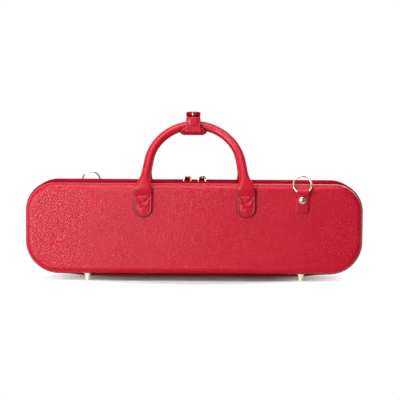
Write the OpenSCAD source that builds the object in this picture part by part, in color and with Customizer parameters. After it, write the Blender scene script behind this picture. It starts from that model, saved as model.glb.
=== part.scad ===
// Zipped leather flute case that stands on four metal feet: two stiffened half shells joined by a
// leather hinge along the bottom, a zip round the other three sides with two sliders that meet in
// the middle of the top, two rolled handles with a keeper strap, and two rings for a shoulder strap.
// X runs along the case, the front face looks towards -Y, Z is up and z = 0 is the floor.

/* [Case] */
// Overall length of the case
case_len = 420; // [380:1:460]
// Height of the shell, without the feet
case_h = 115.5; // [108:0.5:130]
// Thickness from the front face to the back face
case_depth = 72; // [66:1:84]
// Height of the lowest part of the shell over the floor
foot_h = 7.5; // [6:0.5:12]
// Radius of the two top corners
corner_top = 37; // [30:1:48]
// Radius of the two bottom corners
corner_bottom = 41; // [36:1:52]
// Radius of the rolled edge of each face
edge_r = 7.5; // [6.5:0.5:9]

/* [Walls] */
// Thickness of the leather
leather_t = 1.2; // [0.8:0.1:1.4]
// Thickness of the thin padding between leather and board
padding_t = 0.8; // [0.5:0.1:1]
// Thickness of the stiff board
board_t = 2; // [1.5:0.1:2.4]
// Radius of the piping
piping_r = 1.5; // [1.2:0.1:1.8]
// How far the crown of the side band stands out past its two edges
crown = 1.9; // [1.2:0.1:2.2]
// Half width of the open valley that the zip lies in
zip_valley = 7; // [6:0.5:8]
// Thickness of the pad on the inside of the lid's face
lid_pad_t = 6; // [3:0.5:10]
// Thickness of the pad on the inside of the lid's walls
lid_wall_t = 2.5; // [1.5:0.5:4]

/* [Flute bed] */
// Length and width of the recess for the body joint
body_recess = [366, 34]; // [20:1:372]
// Length and width of the recess for the head joint
head_recess = [226, 26]; // [20:1:240]
// Length and width of the recess for the foot joint
foot_recess = [126, 32]; // [20:1:140]
// Depth of the recesses
recess_depth = 23; // [16:1:24]
// Wall of foam between two recesses, and between a recess and the rim
recess_wall = 9; // [6:0.5:10]

/* [Handles] */
// Radius of the arch, at the middle of the tube
handle_r = 58.5; // [50:0.5:64]
// Height of the arch over its flex line, at the middle of the tube
handle_rise = 83; // [76:0.5:95]
// Angle by which the legs spread
handle_splay = 10; // [4:0.5:14]
// Radius of the rolled tube
tube_r = 5.5; // [4.5:0.25:6]
// Radius of the cord inside the tube
cord_r = 3.9; // [3:0.1:4.2]
// Height of the flex line under the top of the shell
flex_drop = 6.5; // [5:0.5:10]
// Width of the flat end of a leg
leg_w = 22; // [18:0.5:24]
// Width of the backing tab under a leg
tab_w = 26.8; // [25:0.2:30]
// Height of the backing tab
tab_h = 38.5; // [34:0.5:46]

/* [Keeper] */
// Length of the pad under the tube
keeper_pad_len = 34; // [28:1:40]
// Width of the keeper strap at the pad
keeper_w = 22.4; // [18:0.2:26]
// Width of the keeper strap at its top
keeper_top_w = 17; // [14:0.5:20]
// Distance of the keeper from the middle of the arch
keeper_x = -2.3; // [-8:0.1:8]
// Length of the flap
flap_len = 19; // [17:0.5:22]

/* [Strap rings] */
// Distance of each ring from the middle of the case
ring_x = 133; // [115:1:150]
// Radius of the ring, at the middle of its wire
ring_r = 11.2; // [10:0.1:13]
// Radius of the ring's wire
ring_wire = 1.05; // [0.9:0.05:1.2]
// Width of the tab that holds the ring
ring_tab_w = 14.8; // [13:0.2:17]
// Height of the ring's pivot under the top of the shell
ring_drop = 10.9; // [10:0.1:14]
// Height of the stud under the ring's pivot
stud_drop = 9.8; // [9.6:0.1:11]
// Length of the tab under the stud
tab_tail = 15.9; // [10:0.1:20]
// Radius of the stud's dome
stud_r = 5; // [4:0.1:5.2]

/* [Feet] */
// Distance of each foot from the middle of the case, along the case
foot_x = 133; // [110:1:150]
// Distance of each foot from its face of the case
foot_in = 12.5; // [12:0.25:13]
// Radius of a foot at the shell
foot_top_r = 4.4; // [4:0.1:4.4]
// Radius of a foot at the floor
foot_bottom_r = 3.5; // [3:0.1:4]

/* [Zip] */
// Distance of each slider from the middle of the case
slider_x = 9.2; // [7:0.1:20]
// Length of a slider
slider_len = 12; // [10:0.5:13]
// Width of a slider
slider_w = 9; // [8:0.2:9.6]
// Width and height of one row of teeth
teeth = [2, 2.4]; // [1.6:0.1:2.6]
// Thickness of the tape
tape_t = 0.7; // [0.5:0.1:0.9]
// Reach of a pull from its pivot to its tip
pull_len = 24; // [20:0.5:24.5]

/* [Hidden] */
$fn = 48;

red = [0.80, 0.10, 0.22];
deep_red = [0.55, 0.05, 0.14];
pale_red = [0.88, 0.30, 0.38];
metal = [0.85, 0.79, 0.68];
plush = [0.30, 0.05, 0.09];
board_grey = [0.45, 0.42, 0.40];
foam_cream = [0.85, 0.82, 0.74];

air = 0.3;      // running gap between pieces that move past each other
seat = 0.05;    // gap round a shank in its own hole
eps = 0.01;     // overrun of a cut

// Shell heights and depths. Each half is drawn flat: x along the case, y up, z from the parting
// plane out to the face.
half_len = case_len / 2;
half_depth = case_depth / 2;
z_low = foot_h;
z_top = foot_h + case_h;
roll_v = half_depth - edge_r;            // depth at which the rolled edge starts
roll_inset = crown + edge_r;             // inset of the rolled edge's centre
piping_v = roll_v - 0.5;
piping_inset = crown + piping_r - 0.6;
band_low = zip_valley;                   // the side band runs between these two depths
band_high = roll_v - 1.5;
band_mid = (band_low + band_high) / 2;
band_half = (band_high - band_low) / 2;
crown_r = (band_half * band_half + crown * crown) / (2 * crown);
wall_inset = crown + leather_t + padding_t;   // outer side of the board
inner_inset = wall_inset + board_t;           // inner side of the board
board_face_v = half_depth - leather_t - padding_t;
inner_face_v = board_face_v - board_t;
tape_v = band_low + 4;                   // the zip tape goes this deep under the side band
rim_v = zip_valley - 1;                  // the board's free edge
lining_v = rim_v - 0.5;                  // the lining covers that edge

// Zip
zip_inset = wall_inset - tape_t / 2;
zip_z = z_top - zip_inset;
teeth_gap = 0.7;                         // half the slot that the slider's post runs in
plate_t = 1.3;
plate_z = zip_z + teeth[1] / 2 + air;
bail_r = 4.6;
bail_wire = 0.85;
bail_z = plate_z + plate_t + 2.2;
pull_z = bail_z + bail_r;
tag_t = 2.2;
tag_w = 8;
pull_drop = asin((pull_z - z_top + crown_drop(pull_len - 0.6) - tag_t / 2 - air) / pull_len);
slider_post = 0.8;
stop_len = 3;

// Handles
tab_v = half_depth + leather_t + 0.1;    // front of the backing tab
knuckle_r = 2.6;
flex_v = tab_v + knuckle_r + 0.4;
flex_z = z_top - flex_drop;
end_v = tab_v + 2.2;                     // front of the sewn end
end_w = leg_w - 1;
end_rise = 3.2;                          // the sewn end stops this far over the tab's bottom
end_drop = 1.1;                          // and this far under the flex line, clear of the leaning leg
tab_top_drop = 3;
tube_gap = tube_r + 1.5;                 // from the parting plane to the tube's middle at the top
handle_lean = asin((flex_v - tube_gap) / handle_rise);
arch_y = handle_rise - handle_r;
turn_x = handle_r * cos(handle_splay);
turn_y = arch_y + handle_r * sin(handle_splay);
leg_x = turn_x + turn_y * tan(handle_splay);
flare_y = 20;                            // the leg is round above this
cord_low = 12;                           // the cord inside the leg ends here
tube_z = flex_z + handle_rise * cos(handle_lean);

// Keeper
strap_t = 1.5;
pad_ease = 1.4;                          // room for the arch, which leans out towards the pad's ends
pad_gap = tube_gap + pad_ease / 2;       // from the parting plane to the pad's middle
pocket = tube_r + air + pad_ease / 2;    // half the width inside the keeper's loop
loop_drop = 4.1;                        // heights counted from the tube's middle
flap_rise = 12.1;
front_rise = 10.8;
snap_rise = 5;
loop_z = tube_z - loop_drop;
keeper_front_y = -pad_gap - pocket - strap_t;
keeper_rear_y = -pad_gap + pocket + strap_t / 2;
flap_z = tube_z + flap_rise;
flap_tilt = 15;
flap_w = keeper_top_w - 0.5;
front_strap_top = tube_z + front_rise;
snap_z = tube_z + snap_rise;
snap_r = 3.6;

// Rings. The wire bends inside the loop: its outer side is lowest in the middle of the tab and its
// inner side is highest at the tab's edges, and the ring is centred between the two.
wire_low = ring_r + ring_wire;
wire_high = sqrt(pow(ring_r - ring_wire, 2) - ring_tab_w * ring_tab_w / 4);
ring_up = (wire_low + wire_high) / 2;    // from the pivot to the ring's centre
loop_hole = (wire_low - wire_high) / 2 + air / 2;
loop_t = 1.25;
loop_r = loop_hole + loop_t;
loop_v = half_depth + loop_r;
ring_z = z_top - ring_drop;
ring_lean = 20;
stud_z = ring_z - stud_drop;
shank_r = 1.5;
washer_r = 4;
washer_t = 0.8;
tab_front_v = half_depth + 2 * loop_t;

// Feet
foot_y = half_depth - foot_in;
screw_r = 1.25;
screw_head_r = 3;
screw_head_t = 1.5;
foot_top = z_low + piping_inset - piping_r - air;

function crown_drop(v) = crown_r - sqrt(crown_r * crown_r - (v - band_mid) * (v - band_mid));

// ---- Placing ----

module front() rotate([90, 0, 0]) children();
module back() rotate([0, 0, 180]) rotate([90, 0, 0]) children();
module at_both_feet() for (s = [-1, 1]) translate([s * foot_x, 0, foot_y]) rotate([-90, 0, 0]) children();
module at_both_legs() for (s = [0, 1]) mirror([s, 0, 0]) translate([leg_x, 0, 0]) children();
module at_stud() translate([ring_x, stud_z, 0]) children();

// ---- Outline and sweeps ----

// Corner centres with their radius, counted from the top right anticlockwise
corners = [
  [half_len - corner_top, z_top - corner_top, corner_top],
  [-half_len + corner_top, z_top - corner_top, corner_top],
  [-half_len + corner_bottom, z_low + corner_bottom, corner_bottom],
  [half_len - corner_bottom, z_low + corner_bottom, corner_bottom]];

// Start and length of the straight sides: right, top, left, bottom
side_h = case_h - corner_top - corner_bottom;
sides = [
  [half_len, z_top - corner_top, side_h],
  [-half_len + corner_top, z_top, case_len - 2 * corner_top],
  [-half_len, z_low + corner_bottom, side_h],
  [half_len - corner_bottom, z_low, case_len - 2 * corner_bottom]];

// A flat shape set in from the outline all round
module outline(inset) {
  for (c = corners) translate([c[0], c[1]]) circle(r = c[2] - inset, $fn = 96);
  polygon([
    [corners[0][0], z_top - inset],
    [corners[1][0], z_top - inset],
    [-half_len + inset, corners[1][1]],
    [-half_len + inset, corners[2][1]],
    [corners[2][0], z_low + inset],
    [corners[3][0], z_low + inset],
    [half_len - inset, corners[3][1]],
    [half_len - inset, corners[0][1]]]);
}

module one_corner(k)
  translate([corners[k][0], corners[k][1], 0]) rotate([0, 0, 90 * k])
    rotate_extrude(angle = 90, $fn = 96) translate([corners[k][2], 0]) children();

module one_side(k)
  translate([sides[k][0], sides[k][1], 0]) rotate([0, 0, 90 * k]) rotate([90, 0, 0])
    linear_extrude(height = sides[k][2]) children();

// Sweep a section round the three sides that the zip closes. In a section x is 0 on the outline
// and negative inside it, and y is the depth from the parting plane.
module sweep_zip() {
  for (k = [0 : 3]) one_corner(k) children();
  for (k = [0 : 2]) one_side(k) children();
}

module sweep_all() {
  sweep_zip() children();
  one_side(3) children();
}

// ---- Sections ----

module crown_circle(inset) translate([-crown_r, band_mid]) circle(r = crown_r - inset, $fn = 96);

module piping_circle(r) translate([-piping_inset, piping_v]) circle(r = r, $fn = 32);

module roll_sector(outer, inner) intersection() {
  translate([-roll_inset, roll_v]) difference() {
    circle(r = outer, $fn = 64);
    circle(r = inner, $fn = 64);
  }
  translate([-roll_inset, roll_v]) square(edge_r + 1);
}

module panel_section() difference() {
  roll_sector(edge_r, edge_r - leather_t);
  piping_circle(piping_r);
}

module band_section() difference() {
  intersection() {
    difference() {
      crown_circle(0);
      crown_circle(leather_t);
    }
    translate([-wall_inset, band_low]) square([wall_inset + 1, band_high - band_low]);
  }
  piping_circle(piping_r);
}

module padding_section(with_tape) difference() {
  union() {
    roll_sector(edge_r - leather_t, edge_r - leather_t - padding_t);
    intersection() {
      crown_circle(leather_t);
      translate([-wall_inset, band_low]) square([wall_inset, roll_v - band_low]);
    }
  }
  piping_circle(piping_r);
  if (with_tape) translate([-wall_inset - eps, 0]) square([tape_t + eps, tape_v]);
}

module board_section() difference() {
  union() {
    roll_sector(edge_r - leather_t - padding_t, edge_r - leather_t - padding_t - board_t);
    translate([-inner_inset, rim_v]) square([board_t, roll_v - rim_v]);
  }
  piping_circle(piping_r);
}

module tape_section()
  translate([-wall_inset, teeth_gap + teeth[0]]) square([tape_t, tape_v - teeth_gap - teeth[0]]);

module teeth_section() translate([-zip_inset - teeth[1] / 2, teeth_gap]) square([teeth[1], teeth[0]]);

// ---- Holes that several layers share ----

module foot_holes(r) at_both_feet() cylinder(r = r, h = z_low + inner_inset + 4);
module stud_hole() at_stud() cylinder(r = shank_r + seat, h = half_depth + 2);

// ---- Shell layers, drawn flat ----

module panel_skin() difference() {
  union() {
    sweep_all() panel_section();
    translate([0, 0, half_depth - leather_t]) linear_extrude(height = leather_t) outline(roll_inset);
  }
  stud_hole();
}

module side_band() difference() {
  sweep_all() band_section();
  foot_holes(screw_r + seat);
}

module padding_layer() difference() {
  union() {
    sweep_zip() padding_section(true);
    one_side(3) padding_section(false);
    translate([0, 0, board_face_v]) linear_extrude(height = padding_t) outline(roll_inset);
  }
  foot_holes(screw_r + seat);
  stud_hole();
}

module board_shell() difference() {
  union() {
    sweep_all() board_section();
    translate([0, 0, inner_face_v]) linear_extrude(height = board_t) outline(roll_inset);
  }
  foot_holes(screw_r + seat);
  stud_hole();
}

module piping_loop() sweep_all() piping_circle(piping_r);

module zip_tape() sweep_zip() tape_section();

module zip_teeth() sweep_zip() teeth_section();

// Clamps that end the two rows of teeth at the bottom corners
module zip_stops() for (s = [-1, 1])
  translate([s * corners[3][0] - (s + 1) / 2 * stop_len, z_low + zip_inset - teeth[1] / 2 - air, teeth_gap])
    cube([stop_len, teeth[1] + 2 * air, teeth[0] + 0.6]);

// Pockets for the screw heads and the washer, cut from the inside of the soft lining
module lining_pockets() {
  at_both_feet() cylinder(r = screw_head_r + air, h = z_low + inner_inset + screw_head_t + air);
  at_stud() translate([0, 0, inner_face_v - washer_t - air])
    cylinder(r = washer_r + air, h = 2 * (washer_t + air));
}

// ---- Lining ----

// A block that fills the board shell up to its face
module inner_block() {
  translate([0, 0, lining_v]) linear_extrude(height = roll_v - lining_v) outline(inner_inset);
  translate([0, 0, lining_v]) linear_extrude(height = inner_face_v - lining_v) outline(roll_inset);
  sweep_all() intersection() {
    translate([-roll_inset, roll_v]) circle(r = roll_inset - inner_inset);
    translate([-roll_inset - eps, roll_v - eps]) square(edge_r);
  }
}

module lid_lining() difference() {
  inner_block();
  translate([0, 0, lining_v - eps])
    linear_extrude(height = inner_face_v - lid_pad_t - lining_v) outline(inner_inset + lid_wall_t);
  lining_pockets();
}

module pill(size) {
  r = min(size[0], size[1]) / 2 - 0.5;
  for (s = [-1, 1]) for (t = [-1, 1])
    translate([s * (size[0] / 2 - r), t * (size[1] / 2 - r)]) circle(r = r);
  square([size[0], size[1] - 2 * r], center = true);
  square([size[0] - 2 * r, size[1]], center = true);
}

recess_low_y = z_low + inner_inset + recess_wall + body_recess[1] / 2;
recess_high_y = recess_low_y + body_recess[1] / 2 + recess_wall + foot_recess[1] / 2;
upper_row = head_recess[0] + recess_wall + foot_recess[0];

module recesses() {
  translate([0, recess_low_y]) pill(body_recess);
  translate([(head_recess[0] - upper_row) / 2, recess_high_y]) pill(head_recess);
  translate([(upper_row - foot_recess[0]) / 2, recess_high_y]) pill(foot_recess);
}

module bed_block() difference() {
  inner_block();
  translate([0, 0, lining_v - eps]) linear_extrude(height = recess_depth + eps) recesses();
  lining_pockets();
}

// ---- Feet ----

module foot_cones() difference() {
  at_both_feet() difference() {
    union() {
      cylinder(r1 = foot_bottom_r - 0.4, r2 = foot_bottom_r, h = 0.4);
      translate([0, 0, 0.4]) cylinder(r1 = foot_bottom_r, r2 = foot_top_r, h = foot_top - 0.4);
    }
    translate([0, 0, 3]) cylinder(r = screw_r + seat, h = foot_top);
  }
  translate([-half_len, z_low + crown_r, band_mid]) rotate([0, 90, 0])
    cylinder(r = crown_r, h = case_len, $fn = 96);
}

module foot_screws() at_both_feet() {
  translate([0, 0, 3.5]) cylinder(r = screw_r, h = z_low + inner_inset - 3.5 + eps);
  translate([0, 0, z_low + inner_inset]) cylinder(r = screw_head_r, h = screw_head_t);
}

// ---- Handles ----

// A strap end with a round bottom, hanging down from the line y = top
module round_end(w, low, top) {
  translate([0, low + w / 2]) circle(r = w / 2);
  translate([-w / 2, low + w / 2]) square([w, top - low - w / 2]);
}

// Room for the toe of a leg. The leg is thicker just past the toe, and that part comes close to the
// sewn end when the handle is folded down.
module knuckle_room() translate([-leg_w, flex_z, flex_v]) rotate([0, 90, 0])
  cylinder(r = knuckle_r + 2 * air, h = 2 * leg_w);

module handle_tabs() at_both_legs() difference() {
  translate([0, 0, half_depth]) linear_extrude(height = tab_v - half_depth)
    round_end(tab_w, flex_z - tab_h, flex_z - tab_top_drop);
  knuckle_room();
}

module handle_ends() at_both_legs() difference() {
  translate([0, 0, tab_v]) linear_extrude(height = end_v - tab_v)
    round_end(end_w, flex_z - tab_h + end_rise, flex_z - end_drop);
  knuckle_room();
}

// Everything on a handle is drawn in its own plane, with the flex line on the x axis
module handle_plane() translate([0, flex_z, flex_v]) rotate([-handle_lean, 0, 0]) children();

// A station of the handle's path holds x, y, the path's direction and the two half sizes of the
// section, across the arch and through its thickness. The right leg and the arch are worked out,
// and the left leg is the right one mirrored and read backwards.
function flare(y) = pow(max(0, 1 - y / flare_y), 1.6);
function swell(y) = 1 - pow(1 - min(1, y / flare_y), 2);
function leg_station(y) = [
  leg_x - y * tan(handle_splay), y, 90 + handle_splay * y / flare_y,
  tube_r + (leg_w / 2 - tube_r) * flare(y), knuckle_r + (tube_r - knuckle_r) * swell(y)];
function toe_station(a) = [leg_x, -knuckle_r * sin(a), 90, leg_w / 2 - 1 + cos(a), knuckle_r * cos(a)];
function arch_station(a, r) = [
  handle_r * cos(a), arch_y + handle_r * sin(a), a + 90, r, r];
function cord_station(y) = [leg_x - y * tan(handle_splay), y, 90 + handle_splay, 1, 1];
function mirrored(list) = [for (i = [len(list) - 1 : -1 : 0])
  [-list[i][0], list[i][1], 360 - list[i][2], list[i][3], list[i][4]]];
function with_r(list, r) = [for (p = list) [p[0], p[1], p[2], r, r]];

arch_step = (180 - 2 * handle_splay) / 16;
arch_path = [for (i = [0 : 16]) arch_station(handle_splay + i * arch_step, tube_r)];
leg_path = concat([for (a = [80, 55, 28]) toe_station(a)],
  [for (f = [0, 0.15, 0.35, 0.6, 1]) leg_station(f * flare_y)]);
sleeve_path = concat(leg_path, arch_path, mirrored(leg_path));
cord_leg = [cord_station(cord_low), cord_station(flare_y)];
cord_path = concat(cord_leg, arch_path, mirrored(cord_leg));

// Rounder where the section is round, squarer where the leather lies flat
function section_power(p) = 2 / (2 + 1.6 * min(1, (p[3] / p[4] - 1) / 2));
function signed_pow(v, e) = sign(v) * pow(abs(v), e);
function ring_points(p, sides) = [for (j = [0 : sides - 1])
  let (t = 360 * j / sides, e = section_power(p),
    across = p[3] * signed_pow(cos(t), e), out = p[4] * signed_pow(sin(t), e))
  [p[0] + across * cos(p[2] - 90), p[1] + across * sin(p[2] - 90), out]];

// A closed tube of triangles through a ring at each station
module loft(path, sides) {
  last = (len(path) - 1) * sides;
  polyhedron(
    points = [for (p = path) each ring_points(p, sides)],
    faces = concat(
      [for (i = [0 : len(path) - 2]) for (j = [0 : sides - 1]) let (k = (j + 1) % sides)
        each [
          [i * sides + j, (i + 1) * sides + k, (i + 1) * sides + j],
          [i * sides + j, i * sides + k, (i + 1) * sides + k]]],
      [for (j = [1 : sides - 2]) [0, j + 1, j]],
      [for (j = [1 : sides - 2]) [last, last + j, last + j + 1]]));
}

module handle_sleeve() handle_plane() difference() {
  loft(sleeve_path, 16);
  loft(with_r(cord_path, cord_r + seat), 12);
}

module handle_cord() handle_plane() loft(with_r(cord_path, cord_r), 12);

// ---- Keeper, drawn upright in its rest place ----

module keeper_at(y, z) translate([keeper_x, y, z]) children();

module keeper_pad_solid() keeper_at(-pad_gap, loop_z) rotate([90, 0, 90])
  linear_extrude(height = keeper_pad_len, center = true) {
    difference() {
      circle(r = pocket + strap_t);
      circle(r = pocket);
      translate([-2 * pocket, 0]) square([4 * pocket, 2 * pocket]);
    }
    for (s = [-1, 1]) translate([s * (pocket + strap_t / 2), 1]) square([strap_t, 2], center = true);
  }

module keeper_front_solid() difference() {
  keeper_at(keeper_front_y, loop_z - 4) rotate([90, 0, 0]) linear_extrude(height = strap_t)
    polygon([
      [-keeper_w / 2, 0],
      [keeper_w / 2, 0],
      [keeper_top_w / 2, front_strap_top - loop_z + 4],
      [-keeper_top_w / 2, front_strap_top - loop_z + 4]]);
  keeper_at(keeper_front_y - 3, snap_z) rotate([-90, 0, 0]) cylinder(r = 1 + seat, h = 6);
}

module keeper_rear_solid() difference() {
  keeper_at(keeper_rear_y - strap_t / 2, loop_z + 2) translate([-keeper_top_w / 2, 0, 0])
    cube([keeper_top_w, strap_t, flap_z - loop_z - 2]);
  keeper_at(keeper_rear_y, flap_z) rotate([0, 90, 0])
    cylinder(r = strap_t / 2 + air, h = 2 * keeper_top_w, center = true);
}

module keeper_stud_solid() keeper_at(keeper_front_y, snap_z) rotate([90, 0, 0]) {
  translate([0, 0, -0.8]) cylinder(r = snap_r, h = 0.8);
  translate([0, 0, -eps]) cylinder(r = 1, h = strap_t + 2 * eps);
  translate([0, 0, strap_t]) cylinder(r1 = snap_r, r2 = snap_r - 0.6, h = 0.6);
}

// The flap is drawn lying towards -Y from its hinge line and then tilted up
module flap_at() keeper_at(keeper_rear_y, flap_z) rotate([-flap_tilt, 0, 0]) children();
snap_reach = flap_len - 7.5;

module keeper_flap_solid() flap_at() {
  rotate([0, 90, 0]) cylinder(r = strap_t / 2, h = flap_w, center = true);
  translate([0, 0, -strap_t / 2]) linear_extrude(height = strap_t) difference() {
    translate([-flap_w / 2, -flap_len]) square([flap_w, flap_len]);
    for (s = [-1, 1]) translate([s * flap_w / 2, -flap_len]) rotate(45) square(5, center = true);
    translate([0, -snap_reach]) circle(r = 1 + seat);
  }
}

module keeper_socket_solid() flap_at() translate([0, -snap_reach, 0]) {
  difference() {
    translate([0, 0, -strap_t / 2 - 1.4]) cylinder(r = snap_r, h = 1.4);
    translate([0, 0, -strap_t / 2 - 1.5]) cylinder(r = 1.8, h = 1);
  }
  translate([0, 0, -strap_t / 2 - eps]) cylinder(r = 1, h = strap_t + 2 * eps);
  translate([0, 0, strap_t / 2]) cylinder(r1 = snap_r, r2 = snap_r - 0.6, h = 0.6);
}

// ---- Strap rings ----

module ring_loop_tab() difference() {
  union() {
    translate([ring_x - ring_tab_w / 2, ring_z, loop_v]) rotate([0, 90, 0])
      cylinder(r = loop_r, h = ring_tab_w);
    translate([ring_x - ring_tab_w / 2, stud_z - tab_tail, half_depth])
      cube([ring_tab_w, ring_z - stud_z + tab_tail, tab_front_v - half_depth]);
  }
  translate([ring_x - ring_tab_w, ring_z, loop_v]) rotate([0, 90, 0])
    cylinder(r = loop_hole, h = 2 * ring_tab_w);
  at_stud() cylinder(r = shank_r + seat, h = tab_front_v + 2);
}

module ring_wire_loop() translate([ring_x, ring_z, loop_v]) rotate([-ring_lean, 0, 0])
  translate([0, ring_up, 0]) rotate_extrude($fn = 64)
    translate([ring_r, 0]) circle(r = ring_wire, $fn = 24);

module stud_dome() at_stud() {
  dome_h = 2.4;
  ball_r = (stud_r * stud_r + dome_h * dome_h) / (2 * dome_h);
  shank_v = inner_face_v - washer_t;
  translate([0, 0, shank_v]) cylinder(r = shank_r, h = tab_front_v - shank_v);
  translate([0, 0, tab_front_v]) cylinder(r = stud_r, h = 0.6);
  translate([0, 0, tab_front_v + 0.6]) intersection() {
    translate([0, 0, dome_h - ball_r]) sphere(r = ball_r, $fn = 64);
    cylinder(r = stud_r, h = dome_h);
  }
}

module stud_washer() at_stud() translate([0, 0, inner_face_v - washer_t]) difference() {
  cylinder(r = washer_r, h = washer_t);
  translate([0, 0, -1]) cylinder(r = shank_r + seat, h = washer_t + 2);
}

// ---- Spine hinge ----

spine_half = band_mid - 3;
spine_sag = 4.6;
spine_r = (spine_half * spine_half + spine_sag * spine_sag) / (2 * spine_sag);
spine_t = 1.3;
spine_edge_z = z_low + crown_drop(spine_half) - 0.2;
spine_end = 4;

module spine_strip() translate([0, 0, spine_edge_z - spine_sag + spine_r]) rotate([90, 0, 90])
  linear_extrude(height = sides[3][2] - 2 * spine_end, center = true) intersection() {
    difference() {
      circle(r = spine_r + spine_t, $fn = 96);
      circle(r = spine_r, $fn = 96);
    }
    translate([-spine_half, -spine_r - spine_t - 1]) square([2 * spine_half, spine_r]);
  }

// ---- Zip sliders, drawn at the parting plane with the nose towards +X ----

module slider_plate(z, t) translate([0, 0, z]) linear_extrude(height = t) intersection() {
  square([slider_len, slider_w], center = true);
  union() {
    translate([slider_len / 2 - slider_w * 0.55, 0]) circle(r = slider_w * 0.55);
    translate([-slider_len / 2, -slider_w * 0.4]) square([slider_len * 0.7, slider_w * 0.8]);
  }
}

module slider_body() {
  slider_plate(plate_z, plate_t);
  slider_plate(2 * zip_z - plate_z - plate_t, plate_t);
  translate([slider_len / 2 - 3.5, -slider_post / 2, 2 * zip_z - plate_z - eps])
    cube([2.4, slider_post, 2 * (plate_z - zip_z) + 2 * eps]);
  translate([0, 0, bail_z]) rotate([90, 0, 0])
    rotate_extrude(angle = 180, $fn = 48) translate([bail_r, 0]) circle(r = bail_wire, $fn = 24);
  for (s = [-1, 1]) translate([s * bail_r, 0, plate_z + plate_t - eps])
    cylinder(r = bail_wire, h = bail_z - plate_z - plate_t + eps, $fn = 24);
}

// The pull lies towards +Y from its pivot and drops onto the side band
module pull_at() translate([0, 0, pull_z]) rotate([-pull_drop, 0, 0]) children();
eye_r = 2;
eye_hole = 1.25;
eye_w = 2.4;
blade_w = 5;
blade_t = 1.1;
blade_len = 9;
tag_start = 5.5;
rivet_at = 7.4;

module pull_blade() translate([-blade_w / 2, eye_r - 0.3, -blade_t / 2])
  cube([blade_w, blade_len - eye_r + 0.3, blade_t]);

module pull_metal() pull_at() {
  difference() {
    union() {
      rotate([0, 90, 0]) cylinder(r = eye_r, h = eye_w, center = true);
      pull_blade();
    }
    rotate([0, 90, 0]) cylinder(r = eye_hole, h = 3 * eye_w, center = true);
  }
  for (s = [0, 1]) mirror([0, 0, s]) translate([0, rivet_at, blade_t / 2 - eps]) {
    cylinder(r = 0.9, h = (tag_t - blade_t) / 2 + 3 * eps);
    translate([0, 0, (tag_t - blade_t) / 2 + 2 * eps]) cylinder(r1 = 1.7, r2 = 1.1, h = 0.6);
  }
}

module pull_leather() pull_at() difference() {
  translate([0, 0, -tag_t / 2]) linear_extrude(height = tag_t) {
    translate([-tag_w / 2, tag_start]) square([tag_w, pull_len - tag_start - tag_w / 2]);
    translate([0, pull_len - tag_w / 2]) circle(r = tag_w / 2);
  }
  translate([-blade_w / 2 - seat, 0, -blade_t / 2]) cube([blade_w + 2 * seat, blade_len + seat, blade_t]);
  translate([0, rivet_at, -tag_t]) cylinder(r = 0.9 + seat, h = 2 * tag_t);
}

module left_slider_place() translate([-slider_x, 0, 0]) children();
module right_slider_place() mirror([1, 0, 0]) translate([-slider_x, 0, 0]) children();

// ---- Named sub-parts ----

module back_panel() color(red) back() panel_skin();
module back_side_band() color(red) back() side_band();
module back_padding() color(foam_cream) back() padding_layer();
module back_board() color(board_grey) back() board_shell();
module back_piping() color(pale_red) back() piping_loop();
module back_zip_tape() color(deep_red) back() zip_tape();
module back_zip_teeth() color(deep_red) back() zip_teeth();
module back_zip_stops() color(metal) back() zip_stops();
module flute_bed() color(plush) back() bed_block();
module spine_hinge() color(deep_red) spine_strip();
module back_feet() color(metal) back() foot_cones();
module back_foot_screws() color(metal) back() foot_screws();
module back_handle_tabs() color(red) back() handle_tabs();
module back_handle_ends() color(red) back() handle_ends();
module back_ring_tab() color(red) back() ring_loop_tab();
module back_ring_stud() color(metal) back() stud_dome();
module back_stud_washer() color(metal) back() stud_washer();
module front_panel() color(red) front() panel_skin();
module front_side_band() color(red) front() side_band();
module front_padding() color(foam_cream) front() padding_layer();
module front_board() color(board_grey) front() board_shell();
module front_piping() color(pale_red) front() piping_loop();
module front_zip_tape() color(deep_red) front() zip_tape();
module front_zip_teeth() color(deep_red) front() zip_teeth();
module front_zip_stops() color(metal) front() zip_stops();
module lid_pad() color(plush) front() lid_lining();
module front_feet() color(metal) front() foot_cones();
module front_foot_screws() color(metal) front() foot_screws();
module front_handle_tabs() color(red) front() handle_tabs();
module front_handle_ends() color(red) front() handle_ends();
module front_ring_tab() color(red) front() ring_loop_tab();
module front_ring_stud() color(metal) front() stud_dome();
module front_stud_washer() color(metal) front() stud_washer();
module front_handle() color(red) front() handle_sleeve();
module front_handle_cord() color(foam_cream) front() handle_cord();
module keeper_pad() color(deep_red) keeper_pad_solid();
module keeper_front_strap() color(red) keeper_front_solid();
module keeper_rear_strap() color(deep_red) keeper_rear_solid();
module keeper_stud() color(metal) keeper_stud_solid();
module keeper_flap() color(pale_red) keeper_flap_solid();
module keeper_socket() color(metal) keeper_socket_solid();
module back_handle() color(red) back() handle_sleeve();
module back_handle_cord() color(foam_cream) back() handle_cord();
module front_ring() color(metal) front() ring_wire_loop();
module back_ring() color(metal) back() ring_wire_loop();
module left_slider() color(metal) left_slider_place() slider_body();
module left_pull() color(metal) left_slider_place() pull_metal();
module left_pull_tag() color(red) left_slider_place() pull_leather();
module right_slider() color(metal) right_slider_place() slider_body();
module right_pull() color(metal) right_slider_place() pull_metal();
module right_pull_tag() color(red) right_slider_place() pull_leather();

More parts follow.
